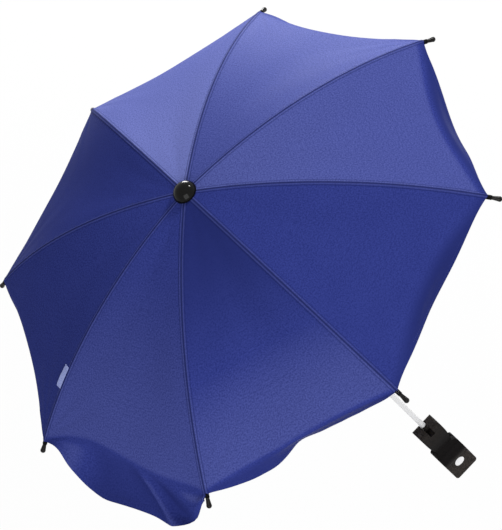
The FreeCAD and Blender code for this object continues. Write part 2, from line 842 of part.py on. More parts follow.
def make_rib(number):
    body = start_body("rib_%d" % number)
    band = arc_band("rib_top", "rib_bottom", "channel_start", "channel_end")
    solid(body, "XZ_Plane", band, "rib_width")
    trough = arc_band("(rib_top - rib_wall)", "(rib_bottom - 1)", "channel_start - 1", "plug_start")
    solid(body, "XZ_Plane", trough, "rib_width - 2 * rib_wall", cut=True)
    pin = arc_band("(rib_middle + rib_pin / 2)", "(rib_middle - rib_pin / 2)", "plug_start", "pin_end")
    solid(body, "XZ_Plane", pin, "rib_pin")
    disc(body, "XZ_Plane", "pivot_radius", "crown_pivot_z", "eye_radius", "rib_width")
    bar = box_corners(
        "pivot_radius", "pivot_radius + eye_bar", "crown_pivot_z - eye_radius", "crown_pivot_z + eye_radius"
    )
    solid(body, "XZ_Plane", bar, "rib_width")
    disc(body, "XZ_Plane", "pivot_radius", "crown_pivot_z", wire_hole, "2 * rib_width", cut=True)
    disc(body, "XZ_Plane", "elbow_reach", "elbow_z", "elbow_tab_radius", "elbow_tab")
    rise = "(elbow_drop + rib_height / 2 - rib_wall / 2)"
    neck = [
        (
            "elbow_reach + %s * elbow_tab_radius * cos(elbow_slope) + %s * sin(elbow_slope)" % (side, up),
            "elbow_z - %s * elbow_tab_radius * sin(elbow_slope) + %s * cos(elbow_slope)" % (side, up),
        )
        for side, up in ((-1, 0), (1, 0), (1, rise), (-1, rise))
    ]
    solid(body, "XZ_Plane", neck, "elbow_tab")
    disc(body, "XZ_Plane", "elbow_reach", "elbow_z", "elbow_pin_radius", "rib_width + 2 * rivet_head")
    body.Placement = Placement(Vector(), around(number))
    return body


def make_rib_tip(number):
    body = start_body("rib_tip_%d" % number)
    bore = "(rib_pin / sqrt(2) + pin_play)"
    depth = "rib_insert + clearance"
    shoulder = "(tip_length - tip_ball_radius - sqrt(tip_ball_radius^2 - tip_shoulder_radius^2))"
    corners = [
        ("0", bore),
        ("0", "tip_neck_radius"),
        ("tip_neck_length", "tip_neck_radius"),
        (shoulder, "tip_shoulder_radius"),
        ("tip_length", "0", "tip_ball_radius", "right"),
        (depth, "0"),
        (depth, bore),
    ]
    sketch = new_sketch(body, "XZ_Plane")
    outline(sketch, corners)
    revolve(body, sketch, "X_Axis")
    reach, height = on_arc(known["rib_middle"], known["tip_slope"])
    turn = around(number)
    lean = Rotation(Vector(0, 1, 0), known["tip_slope"])
    body.Placement = Placement(turn.multVec(Vector(reach, 0, height)), turn.multiply(lean))
    return body


def make_stretcher(number):
    # Drawn along +X from the runner pivot to the elbow, then set in place.
    body = start_body("stretcher_%d" % number)
    gap = "(elbow_tab + 2 * clearance)"
    half = "strut_height / 2"
    solid(body, "XZ_Plane", box_corners("0", "strut_length", "-" + half, half), "rib_width")
    disc(body, "XZ_Plane", "0", "0", "eye_radius", "rib_width")
    disc(body, "XZ_Plane", "strut_length", "0", "eye_radius", "rib_width")
    beyond = "strut_length + 2 * eye_radius"
    trough = box_corners("strut_eye_length", beyond, "-%s + rib_wall" % half, "2 * eye_radius")
    solid(body, "XZ_Plane", trough, gap, cut=True)
    fork = box_corners("strut_length - strut_fork_length", beyond, "-2 * eye_radius", "2 * eye_radius")
    solid(body, "XZ_Plane", fork, gap, cut=True)
    disc(body, "XZ_Plane", "0", "0", wire_hole, "2 * rib_width", cut=True)
    disc(body, "XZ_Plane", "strut_length", "0", "elbow_pin_radius + pin_play", "2 * rib_width", cut=True)
    turn = around(number)
    foot = turn.multVec(Vector(known["pivot_radius"], 0, known["runner_pivot_z"]))
    body.Placement = Placement(foot, turn.multiply(Rotation(Vector(0, 1, 0), -strut_pitch)))
    return body


# Canopy
half_pitch = pitch / 2


def gore_section(gore, rib_angle, side, part):
    # The cloth cut by an upright plane through the axis: part is 0 at the rib and 1 at the
    # middle of the gore. The panel follows the straight lines between two ribs, its hem
    # dips in between the tips, and the valance hangs on from there.
    angle = rib_angle + side * part * half_pitch
    flat = cos_of(half_pitch) / cos_of(half_pitch * (1 - part))
    bow = 1 - (1 - part) ** 2
    thick, dome = known["cloth_thickness"], known["dome_radius"]
    hem = flat * (known["rim_radius"] - known["corner_turn"]) - known["hem_dip_%d" % gore] * bow
    first = slope_at(dome, known["cloth_eye"] / flat)
    last = slope_at(dome, hem / flat)
    slopes = (first, (first + last) / 2, last)
    shift = side * (1 - 2 * part) * known["clearance"] / 2

    def spot(reach, height):
        way = Vector(cos_of(angle), sin_of(angle), 0)
        across = Vector(-sin_of(angle), cos_of(angle), 0)
        return way * reach + across * shift + Vector(0, 0, height)

    def arc_points(radius):
        return [(flat * reach, height) for reach, height in (on_arc(radius, slope) for slope in slopes)]

    outer = arc_points(dome)
    inner = arc_points(dome - thick)
    hang = (90 - last) * (1 - bow) + known["valance_lean_%d" % gore] * bow
    gain = 1 - (1 - part ** known["valance_taper_%d" % gore]) ** 2
    length = known["corner_turn"] + known["valance_length_%d" % gore] * gain
    drop = (length * sin_of(hang), -length * cos_of(hang))
    under = (-cos_of(hang), -sin_of(hang))
    over = (-sin_of(last), -cos_of(last))
    fold = ((90 - last) - hang) / 2
    mitre = thick / cos_of(fold) / math.hypot(under[0] + over[0], under[1] + over[1])
    crease = outer[2]
    edge = (crease[0] + drop[0], crease[1] + drop[1])
    edge_in = (edge[0] + thick * under[0], edge[1] + thick * under[1])
    inner[2] = (crease[0] + mitre * (under[0] + over[0]), crease[1] + mitre * (under[1] + over[1]))
    top = [spot(*p) for p in outer]
    below = [spot(*p) for p in inner]
    return Part.Wire(
        [
            Part.Arc(*top).toShape(),
            Part.makeLine(top[2], spot(*edge)),
            Part.makeLine(spot(*edge), spot(*edge_in)),
            Part.makeLine(spot(*edge_in), below[2]),
            Part.Arc(*reversed(below)).toShape(),
            Part.makeLine(below[0], top[0]),
        ]
    )


def make_half_gore(number, half):
    side = 1 if half == "left" else -1
    rib = number if half == "left" else number + 1
    stations = (0, 0.2, 0.5, 0.75, 1)
    sections = [gore_section(number, (rib - 1) * pitch, side, part) for part in stations]
    return feature("gore_%d_%s" % (number, half), Part.makeLoft(sections, True, False))


def make_seam_tag():
    # A bare folded tag that lies on gore 4 along the seam over rib 5.
    slope = slope_at(known["dome_radius"], known["tag_reach"])
    reach, height = on_arc(known["dome_radius"] + known["clearance"], slope)
    length, width = known["tag_length"], known["tag_width"]
    base = Vector(-length / 2, -known["tag_offset"] - width, 0)
    item = feature("seam_tag", Part.makeBox(length, width, known["cloth_thickness"], base))
    fall = math.degrees(math.atan(tan_of(half_pitch) * sin_of(slope)))
    lean = Rotation(Vector(0, 1, 0), slope).multiply(Rotation(Vector(1, 0, 0), fall))
    turn = around(5)
    item.Placement = Placement(turn.multVec(Vector(reach, 0, height)), turn.multiply(lean))
    return item


numbers = range(1, int(known["rib_count"]) + 1)
pieces = [
    make_clip_body(),
    make_clip_lever(),
    make_jaw_pad("body_jaw_pad", -1),
    make_jaw_pad("lever_jaw_pad", 1),
    make_badge_disc(),
    make_clip_spring(),
    *make_pins(),
    make_shaft_tube(),
    make_shaft_foot(),
    make_catch("top_catch", "sleeve_base"),
    make_catch("bottom_catch", "closed_catch_height"),
    make_crown(),
    make_runner(),
    make_top_cap(),
    *make_crown_trim(),
    make_seam_tag(),
]
pieces += [make(number) for number in numbers for make in (make_rib, make_rib_tip, make_stretcher)]
pieces += [make_half_gore(number, half) for number in numbers for half in ("left", "right")]
doc.recompute()

for item in doc.Objects:
    if "Invalid" in item.State or "Error" in item.State:
        raise RuntimeError("%s failed: %s" % (item.Label, item.State))
for item in pieces:
    if item.Shape.isNull() or not item.Shape.isValid() or len(item.Shape.Solids) != 1:
        raise RuntimeError("%s is not one valid solid" % item.Label)

os.makedirs("parts", exist_ok=True)
for item in pieces:
    item.Shape.exportStep(os.path.join("parts", item.Label + ".step"))
print("wrote %d pieces" % len(pieces))
print("crown pivot z %.4f, elbow z %.4f" % (known["crown_pivot_z"], known["elbow_z"]))
print("runner pivot z %.4f, travel %.4f" % (known["runner_pivot_z"], known["runner_travel"]))
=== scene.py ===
import json
import math

import bpy
import numpy as np
from mathutils import Matrix


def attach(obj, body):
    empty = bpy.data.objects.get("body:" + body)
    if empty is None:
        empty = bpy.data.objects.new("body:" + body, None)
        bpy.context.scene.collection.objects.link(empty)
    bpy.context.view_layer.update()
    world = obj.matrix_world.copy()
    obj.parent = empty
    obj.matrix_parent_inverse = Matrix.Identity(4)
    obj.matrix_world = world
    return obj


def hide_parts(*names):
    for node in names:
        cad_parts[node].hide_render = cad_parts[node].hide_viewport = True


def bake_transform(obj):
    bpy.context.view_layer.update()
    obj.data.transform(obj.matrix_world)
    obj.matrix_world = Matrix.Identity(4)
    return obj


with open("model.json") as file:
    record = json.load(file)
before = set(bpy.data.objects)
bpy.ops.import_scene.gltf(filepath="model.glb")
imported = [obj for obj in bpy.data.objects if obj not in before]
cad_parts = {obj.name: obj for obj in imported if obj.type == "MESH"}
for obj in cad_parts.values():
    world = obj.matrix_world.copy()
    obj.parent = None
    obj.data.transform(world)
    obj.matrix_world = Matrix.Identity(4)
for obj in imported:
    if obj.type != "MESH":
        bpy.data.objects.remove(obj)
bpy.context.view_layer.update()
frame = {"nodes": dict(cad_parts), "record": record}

# Pram parasol: the cloth, its sewing and every finish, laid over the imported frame.
# Metres, in the frame's own axes; settings in mm are turned into metres where they are used.
mm = 0.001
white = (1, 1, 1, 1)


def addItem(name, data):
    item = bpy.data.objects.new(name, data)
    bpy.context.scene.collection.objects.link(item)
    return item


def setAxes(item, right, up, back, spot):
    rows = [[axis[i] for axis in (right, up, back, spot)] for i in range(3)]
    item.matrix_world = Matrix(rows + [[0, 0, 0, 1]])


def unit(vectors):
    return vectors / (np.linalg.norm(vectors, axis=-1, keepdims=True) + 1e-15)


# camera, at the photograph's viewing angle
view = {
    "eye": (-0.04457, -2.11421, 3.05387),
    "right": (0.688157, -0.554009, -0.468523),
    "up": (0.72547, 0.515118, 0.456449),
    "toward": (-0.011532, -0.654009, 0.756399),
    "lens": 171.0, "sensor": 36,  # mm
    "sight": 60,  # how far it sees
}


def setCamera():
    lens = bpy.data.cameras.new("camera")
    lens.lens = view["lens"]
    lens.sensor_width = view["sensor"]
    lens.clip_end = view["sight"]
    camera = addItem("camera", lens)
    setAxes(camera, view["right"], view["up"], view["toward"], view["eye"])
    bpy.context.scene.camera = camera


def fromView(right, up, toward):
    # a direction given as the camera sees it, in the frame's axes
    axes = np.array([view["right"], view["up"], view["toward"]])
    return unit(np.array([right, up, toward]) @ axes)


setCamera()
bpy.context.scene.view_settings.view_transform = "Standard"


# studio: soft lamps, a dim room and a pale floor
studio = {
    "aim": (0, 0, 0.653),
    "room": 0.28,
    "floorHeight": -0.32,  # clear of the canopy when it is tilted right over
    "floorSize": 14,
    "floorColour": (0.86, 0.86, 0.87, 1),
    "floorWhite": 0.95,  # how much of the floor shows as plain white
    "lamps": {  # way as the camera sees it, distance, side of the square, level on a facing surface
        "top_lamp": ((-0.12, 0.80, -0.59), 2.6, 0.9, 0.75),
        "front_lamp": ((0.02, -0.45, 0.89), 3.4, 2.4, 0.60),
        "side_lamp": ((0.35, 0.90, 0.25), 3.0, 0.45, 0.55),
    },
}


def addLamp(name, way, distance, side, level):
    lamp = bpy.data.lights.new(name, "AREA")
    lamp.shape = "SQUARE"
    lamp.size = side
    lamp.energy = level * math.pi**2 * distance**2
    back = fromView(*way)
    right = unit(np.cross((0.0, 0.0, 1.0), back))
    spot = np.array(studio["aim"]) + back * distance
    setAxes(addItem(name, lamp), right, np.cross(back, right), back, spot)


def addNode(tree, kind, settings=None, **sockets):
    # sockets go by name, or by number as i0, i1 and so on
    node = tree.nodes.new("ShaderNode" + kind)
    for key, value in (settings or {}).items():
        setattr(node, key, value)
    for name, value in sockets.items():
        socket = node.inputs[int(name[1:])] if name[0] == "i" and name[1:].isdigit() else node.inputs[name]
        if isinstance(value, bpy.types.NodeSocket):
            tree.links.new(value, socket)
        else:
            socket.default_value = value
    return node


def work(tree, kind, a, b=0.0):
    return addNode(tree, "Math", {"operation": kind}, i0=a, i1=b).outputs[0]


def mixShader(tree, share, a, b):
    return addNode(tree, "MixShader", i0=share, i1=a, i2=b).outputs[0]


def seenDirectly(tree):
    # 1 for what the camera sees straight, in a mirror or through glass
    path = addNode(tree, "LightPath").outputs
    seen = work(tree, "MAXIMUM", path["Is Camera Ray"], path["Is Glossy Ray"])
    return work(tree, "MAXIMUM", seen, path["Is Transmission Ray"])


def setRoom():
    world = bpy.data.worlds.new("room")
    world.use_nodes = True
    tree = world.node_tree
    tree.nodes.clear()
    dim = addNode(tree, "Background", Color=white, Strength=studio["room"]).outputs[0]
    paper = addNode(tree, "Background", Color=white, Strength=1.0).outputs[0]
    addNode(tree, "OutputWorld", Surface=mixShader(tree, seenDirectly(tree), dim, paper))
    bpy.context.scene.world = world


def makeFloor():
    side, height = studio["floorSize"] / 2, studio["floorHeight"]
    corners = [(x * side, y * side, height) for x, y in ((-1, -1), (1, -1), (1, 1), (-1, 1))]
    mesh = bpy.data.meshes.new("floor")
    mesh.from_pydata(corners, [], [(0, 1, 2, 3)])
    floor = addItem("floor", mesh)
    paint = bpy.data.materials.new("pale_floor")
    paint.use_nodes = True
    tree = paint.node_tree
    tree.nodes.clear()
    matt = addNode(tree, "BsdfDiffuse", Color=studio["floorColour"]).outputs[0]
    paper = addNode(tree, "Emission", Color=white, Strength=1.0).outputs[0]
    pale = mixShader(tree, work(tree, "MULTIPLY", seenDirectly(tree), studio["floorWhite"]), matt, paper)
    clear = addNode(tree, "BsdfTransparent").outputs[0]
    below = addNode(tree, "NewGeometry").outputs["Backfacing"]
    addNode(tree, "OutputMaterial", Surface=mixShader(tree, below, pale, clear))
    mesh.materials.append(paint)


for lampName, lampSettings in studio["lamps"].items():
    addLamp(lampName, *lampSettings)
setRoom()
makeFloor()
print("studio: %d lamps, room and floor" % len(studio["lamps"]))


# finishes: noises steer colour, roughness and bump
# Scales count per metre. A bump is its depth in metres and its strength. A pair of pairs turns
# the first span of a value into the second.
noiseSpan = (0.3, 0.7)  # where most of a noise lies


def newFinish(name, **sockets):
    finish = bpy.data.materials.new(name)
    finish.use_nodes = True
    shader = finish.node_tree.nodes["Principled BSDF"]
    for socket, value in sockets.items():
        shader.inputs[socket.replace("_", " ")].default_value = value
    return finish, finish.node_tree, shader


def feed(tree, shader, colour, rough, normal):
    for socket, value in (("Base Color", colour), ("Roughness", rough), ("Normal", normal)):
        tree.links.new(value, shader.inputs[socket])


def noise(tree, where, scale, detail, rough=0.55):
    return addNode(tree, "TexNoise", Vector=where, Scale=scale, Detail=detail, Roughness=rough).outputs[0]


def drawnNoise(tree, where, scale, detail):
    # noise with its own scale along each axis
    stretched = addNode(tree, "Mapping", Vector=where, Scale=scale).outputs[0]
    return noise(tree, stretched, 1.0, detail)


def cells(tree, where, scale, soft):
    sockets = {"Vector": where, "Scale": scale, "Smoothness": soft}
    return addNode(tree, "TexVoronoi", {"feature": "SMOOTH_F1"}, **sockets).outputs["Distance"]


def remap(tree, value, span, to):
    sockets = {"i1": span[0], "i2": span[1], "i3": to[0], "i4": to[1]}
    return addNode(tree, "MapRange", {"clamp": True}, i0=value, **sockets).outputs[0]


def mixColour(tree, share, a, b):
    return addNode(tree, "Mix", {"data_type": "RGBA"}, i0=share, i6=a, i7=b).outputs[2]


def shade(colour, share):
    return tuple(share * c for c in colour[:3]) + (1,)


def bump(tree, height, depth, under=None):
    sockets = {"Height": height, "Distance": depth[0], "Strength": depth[1]}
    if under is not None:
        sockets["Normal"] = under
    return addNode(tree, "Bump", **sockets).outputs[0]


def objectPlace(tree):
    return addNode(tree, "TexCoord").outputs["Object"]


def cutPlace(tree):
    # a place on the flat cloth, whole and as its two measures
    flat = addNode(tree, "UVMap", {"uv_map": "cut"}).outputs[0]
    split = addNode(tree, "SeparateXYZ", Vector=flat).outputs
    return flat, split[0], split[1]


clothFinish = {
    "colour": (0.050, 0.069, 0.335, 1),
    "deepColour": (0.026, 0.038, 0.215, 1),
    # the shade colour is painted shade on deep gores, valances and seams; the pale colour is painted sheen
    # and highlight
    "shadeColour": (0.012, 0.018, 0.110, 1),
    "paleColour": (0.200, 0.235, 0.620, 1),
    "gloss": 0.003, "rough": (noiseSpan, (0.42, 0.34)),
    "thread": 0.45,  # mm
    "yarnScale": (1500, 130), "grainScale": 480, "cloudScale": 16,
    "yarnTone": (noiseSpan, (0.0, 0.5)), "cloudTone": (noiseSpan, (-0.10, 0.10)),
    "grainTone": ((0.34, 0.66), (-0.30, 0.80)), "grainPaintedLight": ((0.34, 0.66), (0.60, 1.40)),
    # by mm from the seam: a painted highlight on the welt, painted shade where the cloth goes under, and
    # painted shade along the edge of the welt
    "seamHighlight": ((1.5, 4.0), (0.22, 0.0)), "groove": ((0.7, 2.0), (0.85, 0.0)),
    "weltFrom": ((3.0, 3.6), (0.0, 0.50)), "weltTo": ((4.2, 5.2), (0.50, 0.0)),
    "weaveBump": (0.00005, 0.25), "yarnBump": (0.00020, 0.22),
    # painted sheen and shade on each gore: how pale, or below 0 how deep,
    # each is painted at the crown, at its crease and on its valance
    "paintedLight": (
        (0.22, 0.52, 0.10), (1.00, 0.62, 0.10), (-0.14, -0.32, 0), (0, 0, 0),
        (0, 0.20, -0.08), (-0.58, 0.22, -0.30), (-0.08, -0.14, -0.55), (0.34, 0.24, -0.50),
    ),
    "paintedLightRun": (0.1, 0.95),  # from crown to crease, in shares of the way
    "paintedLightCrease": (-1, 0.4),  # on to the valance, in rounding radii past the crease
    "paintedLightFold": (0.05, 0.35),  # and into the folds of a loose one, in shares of its depth
}


def makeClothFinish(name):
    size = clothFinish
    finish, tree, shader = newFinish(name, Specular_IOR_Level=size["gloss"])
    flat, fromSeam, fromCrown = cutPlace(tree)
    turn = math.pi / (size["thread"] * mm)
    warp = work(tree, "SINE", work(tree, "MULTIPLY", fromSeam, turn))
    weft = work(tree, "SINE", work(tree, "MULTIPLY", fromCrown, turn))
    # yarns of uneven thickness, along and across, and a heathered grain
    fine, long = size["yarnScale"]
    along = drawnNoise(tree, flat, (fine, long, 1), 2)
    across = drawnNoise(tree, flat, (long, fine, 1), 2)
    yarn = work(tree, "MULTIPLY", work(tree, "ADD", along, across), 0.5)
    grain = noise(tree, flat, size["grainScale"], 2, 0.7)
    cloud = noise(tree, flat, size["cloudScale"], 3)
    tone = work(tree, "ADD", remap(tree, yarn, *size["yarnTone"]), remap(tree, grain, *size["grainTone"]))
    tone = work(tree, "ADD", tone, remap(tree, cloud, *size["cloudTone"]))
    body = mixColour(tree, tone, size["deepColour"], size["colour"])
    # painted sheen and shade kept on the cloth's points: above 0 towards the pale colour, below 0 towards the
    # shade colour
    paintedLight = addNode(tree, "Attribute", {"attribute_name": "paintedLight"}).outputs["Fac"]
    paintedLight = work(tree, "MULTIPLY", paintedLight, remap(tree, grain, *size["grainPaintedLight"]))
    body = mixColour(tree, work(tree, "MULTIPLY", paintedLight, -1.0), body, size["shadeColour"])
    body = mixColour(tree, paintedLight, body, size["paleColour"])

    def besideSeam(key):
        span, to = size[key]
        return remap(tree, fromSeam, np.multiply(span, mm), to)

    # painted highlight on the welt beside the seam
    body = mixColour(tree, besideSeam("seamHighlight"), body, size["paleColour"])
    # painted shade in the seam's groove and along the welt's edge
    welt = work(tree, "MINIMUM", besideSeam("weltFrom"), besideSeam("weltTo"))
    dark = work(tree, "MAXIMUM", besideSeam("groove"), welt)
    body = mixColour(tree, dark, body, size["shadeColour"])
    raised = bump(tree, work(tree, "MULTIPLY", warp, weft), size["weaveBump"])
    rough = remap(tree, yarn, *size["rough"])
    feed(tree, shader, body, rough, bump(tree, yarn, size["yarnBump"], raised))
    return finish


threadFinish = {"twistScale": 900, "shade": 0.6, "rough": ((0, 1), (0.55, 0.40)), "bump": (0.00008, 0.6)}


def makeThreadFinish(name, colour, gloss):
    size = threadFinish
    finish, tree, shader = newFinish(name, Specular_IOR_Level=gloss)
    sockets = {"Vector": objectPlace(tree), "Scale": size["twistScale"], "Distortion": 1.0}
    twist = addNode(tree, "TexWave", {"bands_direction": "DIAGONAL"}, **sockets).outputs[0]
    body = mixColour(tree, twist, shade(colour, size["shade"]), colour)
    feed(tree, shader, body, remap(tree, twist, *size["rough"]), bump(tree, twist, size["bump"]))
    return finish


plasticFinish = {
    "cloudScale": 60, "cloudTone": ((0.45, 0.7), (0.0, 0.45)),
    "cloudBump": (1.5, 0.25),  # its depth in depths of the grain
    "fineShare": 0.45, "fineTone": ((0.35, 0.65), (0.0, 0.55)),
    "soft": 0.6, "grainBump": 0.7, "polish": (0.85, 1.2),
}


def makePlasticFinish(name, colour, pale, rough, grain, depth, gloss):
    # moulded plastic: a fine grain, a slow cloud of polish and pale rubbed spots
    size = plasticFinish
    finish, tree, shader = newFinish(name, Specular_IOR_Level=gloss)
    where = objectPlace(tree)
    cloud = noise(tree, where, size["cloudScale"], 4)
    fine = noise(tree, where, grain * size["fineShare"], 3)
    tone = work(tree, "ADD", remap(tree, fine, *size["fineTone"]), remap(tree, cloud, *size["cloudTone"]))
    body = mixColour(tree, tone, colour, pale)
    polish = remap(tree, cloud, noiseSpan, np.multiply(size["polish"], rough))
    raised = bump(tree, cells(tree, where, grain, size["soft"]), (depth, size["grainBump"]))
    deep, strength = size["cloudBump"]
    feed(tree, shader, body, polish, bump(tree, cloud, (depth * deep, strength), raised))
    return finish


clipFinish = {
    "colour": (0.004, 0.0036, 0.004, 1),
    "paleByHeightColour": (0.060, 0.050, 0.044, 1),
    # how pale it is by height: the jaw less towards the top, the block more; the waist between them is left
    # as painted shade
    "jaw": ((-0.016, 0.004), (1.0, 0.10)), "block": ((0.040, 0.085), (0.0, 0.55)),
    "grain": 620, "soft": 0.4, "fineTone": ((0.36, 0.64), (0.05, 1.0)),
    "gloss": 0.04, "rough": (noiseSpan, (0.42, 0.62)), "bump": (0.0003, 0.8),
}


def makeClipFinish(name):
    # coarse moulded grain, paler brown on the jaw and a little on the block, with painted shade in the waist
    # between them
    size = clipFinish
    finish, tree, shader = newFinish(name, Specular_IOR_Level=size["gloss"])
    where = objectPlace(tree)
    height = addNode(tree, "SeparateXYZ", Vector=where).outputs[2]
    jaw, block = (remap(tree, height, *size[key]) for key in ("jaw", "block"))
    fine = noise(tree, where, size["grain"], 3, 0.7)
    # paler by height, with painted shade in the waist
    tone = work(tree, "MULTIPLY", work(tree, "MAXIMUM", jaw, block), remap(tree, fine, *size["fineTone"]))
    body = mixColour(tree, tone, size["colour"], size["paleByHeightColour"])
    raised = bump(tree, cells(tree, where, size["grain"], size["soft"]), size["bump"])
    feed(tree, shader, body, remap(tree, fine, *size["rough"]), raised)
    return finish


steelFinish = {
    "dull": 0.62, "patchScale": 45, "patchTone": ((0.35, 0.7), (0.0, 0.8)),
    "polish": (0.7, 1.35), "bump": (0.00004, 0.35),
}


def makeSteelFinish(name, colour, rough, drawn):
    # plated steel with drawing lines along the bar and dull patches
    size = steelFinish
    finish, tree, shader = newFinish(name, Metallic=1.0)
    where = objectPlace(tree)
    lines = drawnNoise(tree, where, drawn, 4)
    patch = remap(tree, noise(tree, where, size["patchScale"], 4), *size["patchTone"])
    body = mixColour(tree, patch, colour, shade(colour, size["dull"]))
    polish = remap(tree, lines, noiseSpan, np.multiply(size["polish"], rough))
    feed(tree, shader, body, polish, bump(tree, lines, size["bump"]))
    return finish


paintFinish = {
    "colour": (0.86, 0.86, 0.86, 1), "scuffColour": (0.62, 0.62, 0.63, 1),
    "gloss": 0.5, "coat": 0.25, "coatRough": 0.12, "rough": ((0.4, 0.75), (0.28, 0.48)),
    "scuffScale": (160, 160, 14), "scuffTone": ((0.58, 0.75), (0.0, 0.5)),
    "peelScale": 420, "bump": (0.00005, 0.35),
}


def makePaintFinish(name):
    # stove-enamelled tube: a little orange peel and grey scuffs
    size = paintFinish
    coat = {"Coat_Weight": size["coat"], "Coat_Roughness": size["coatRough"]}
    finish, tree, shader = newFinish(name, Specular_IOR_Level=size["gloss"], **coat)
    where = objectPlace(tree)
    scuff = drawnNoise(tree, where, size["scuffScale"], 4)
    tone = remap(tree, scuff, *size["scuffTone"])
    body = mixColour(tree, tone, size["colour"], size["scuffColour"])
    peel = bump(tree, noise(tree, where, size["peelScale"], 2), size["bump"])
    feed(tree, shader, body, remap(tree, scuff, *size["rough"]), peel)
    return finish


tapeFinish = {
    "colour": (0.30, 0.36, 0.80, 1), "paleColour": (0.48, 0.55, 0.95, 1),
    "gloss": 0.15, "rough": (noiseSpan, (0.5, 0.36)),
    "rib": 0.5,  # mm
    "fleckScale": 500, "fleckTone": (noiseSpan, (0, 1)), "bump": (0.00008, 0.4),
}


def makeTapeFinish(name):
    size = tapeFinish
    finish, tree, shader = newFinish(name, Specular_IOR_Level=size["gloss"])
    flat, run, _ = cutPlace(tree)
    rib = work(tree, "SINE", work(tree, "MULTIPLY", run, 2 * math.pi / (size["rib"] * mm)))
    fleck = noise(tree, flat, size["fleckScale"], 3)
    body = mixColour(tree, remap(tree, fleck, *size["fleckTone"]), size["colour"], size["paleColour"])
    feed(tree, shader, body, remap(tree, fleck, *size["rough"]), bump(tree, rib, size["bump"]))
    return finish


steels = {  # name, colour, roughness, scale of the drawing lines
    "frame_steel": ("plated_steel", (0.62, 0.63, 0.65, 1), 0.30, (500, 500, 60)),
    "pin_steel": ("turned_steel", (0.70, 0.70, 0.71, 1), 0.24, (40, 900, 900)),
    "badge_metal": ("bright_metal", (0.93, 0.93, 0.94, 1), 0.20, (700, 700, 700)),
}
plastics = {  # name, colour, pale colour, roughness, scale of the grain and its depth, gloss
    "tip_plastic": (
        "tip_black", (0.007, 0.006, 0.006, 1), (0.014, 0.013, 0.012, 1), 0.30, 2200, 0.00003, 0.12,
    ),
    "cap_plastic": (
        "cap_black", (0.003, 0.003, 0.003, 1), (0.006, 0.006, 0.005, 1), 0.10, 900, 0.00002, 0.11,
    ),
    "runner_plastic": (
        "runner_black", (0.010, 0.010, 0.010, 1), (0.020, 0.019, 0.019, 1), 0.42, 1500, 0.00005, 0.15,
    ),
    "pad_rubber": (
        "grey_rubber", (0.030, 0.030, 0.031, 1), (0.050, 0.050, 0.050, 1), 0.80, 1600, 0.00010, 0.12,
    ),
}
finishes = {
    "canopy_cloth": makeClothFinish("blue_satin_cloth"),
    "tag_cloth": makeTapeFinish("pale_woven_tape"),
    "clip_plastic": makeClipFinish("clip_black"),
    "tube_paint": makePaintFinish("white_enamel"),
}
finishes.update({slot: makeSteelFinish(*settings) for slot, settings in steels.items()})
finishes.update({slot: makePlasticFinish(*settings) for slot, settings in plastics.items()})
blackThread = makeThreadFinish("black_thread", (0.007, 0.007, 0.008, 1), 0.05)
sewingThread = makeThreadFinish("blue_thread", (0.045, 0.062, 0.300, 1), 0.15)
print("finishes: %d and two threads" % len(finishes))


# CAD pieces keep their shapes and take these finishes
for entry in frame["record"]["subparts"]:
    for slot in frame["nodes"][entry["node"]].material_slots:
        slot.material = finishes[entry["material_slot"]]


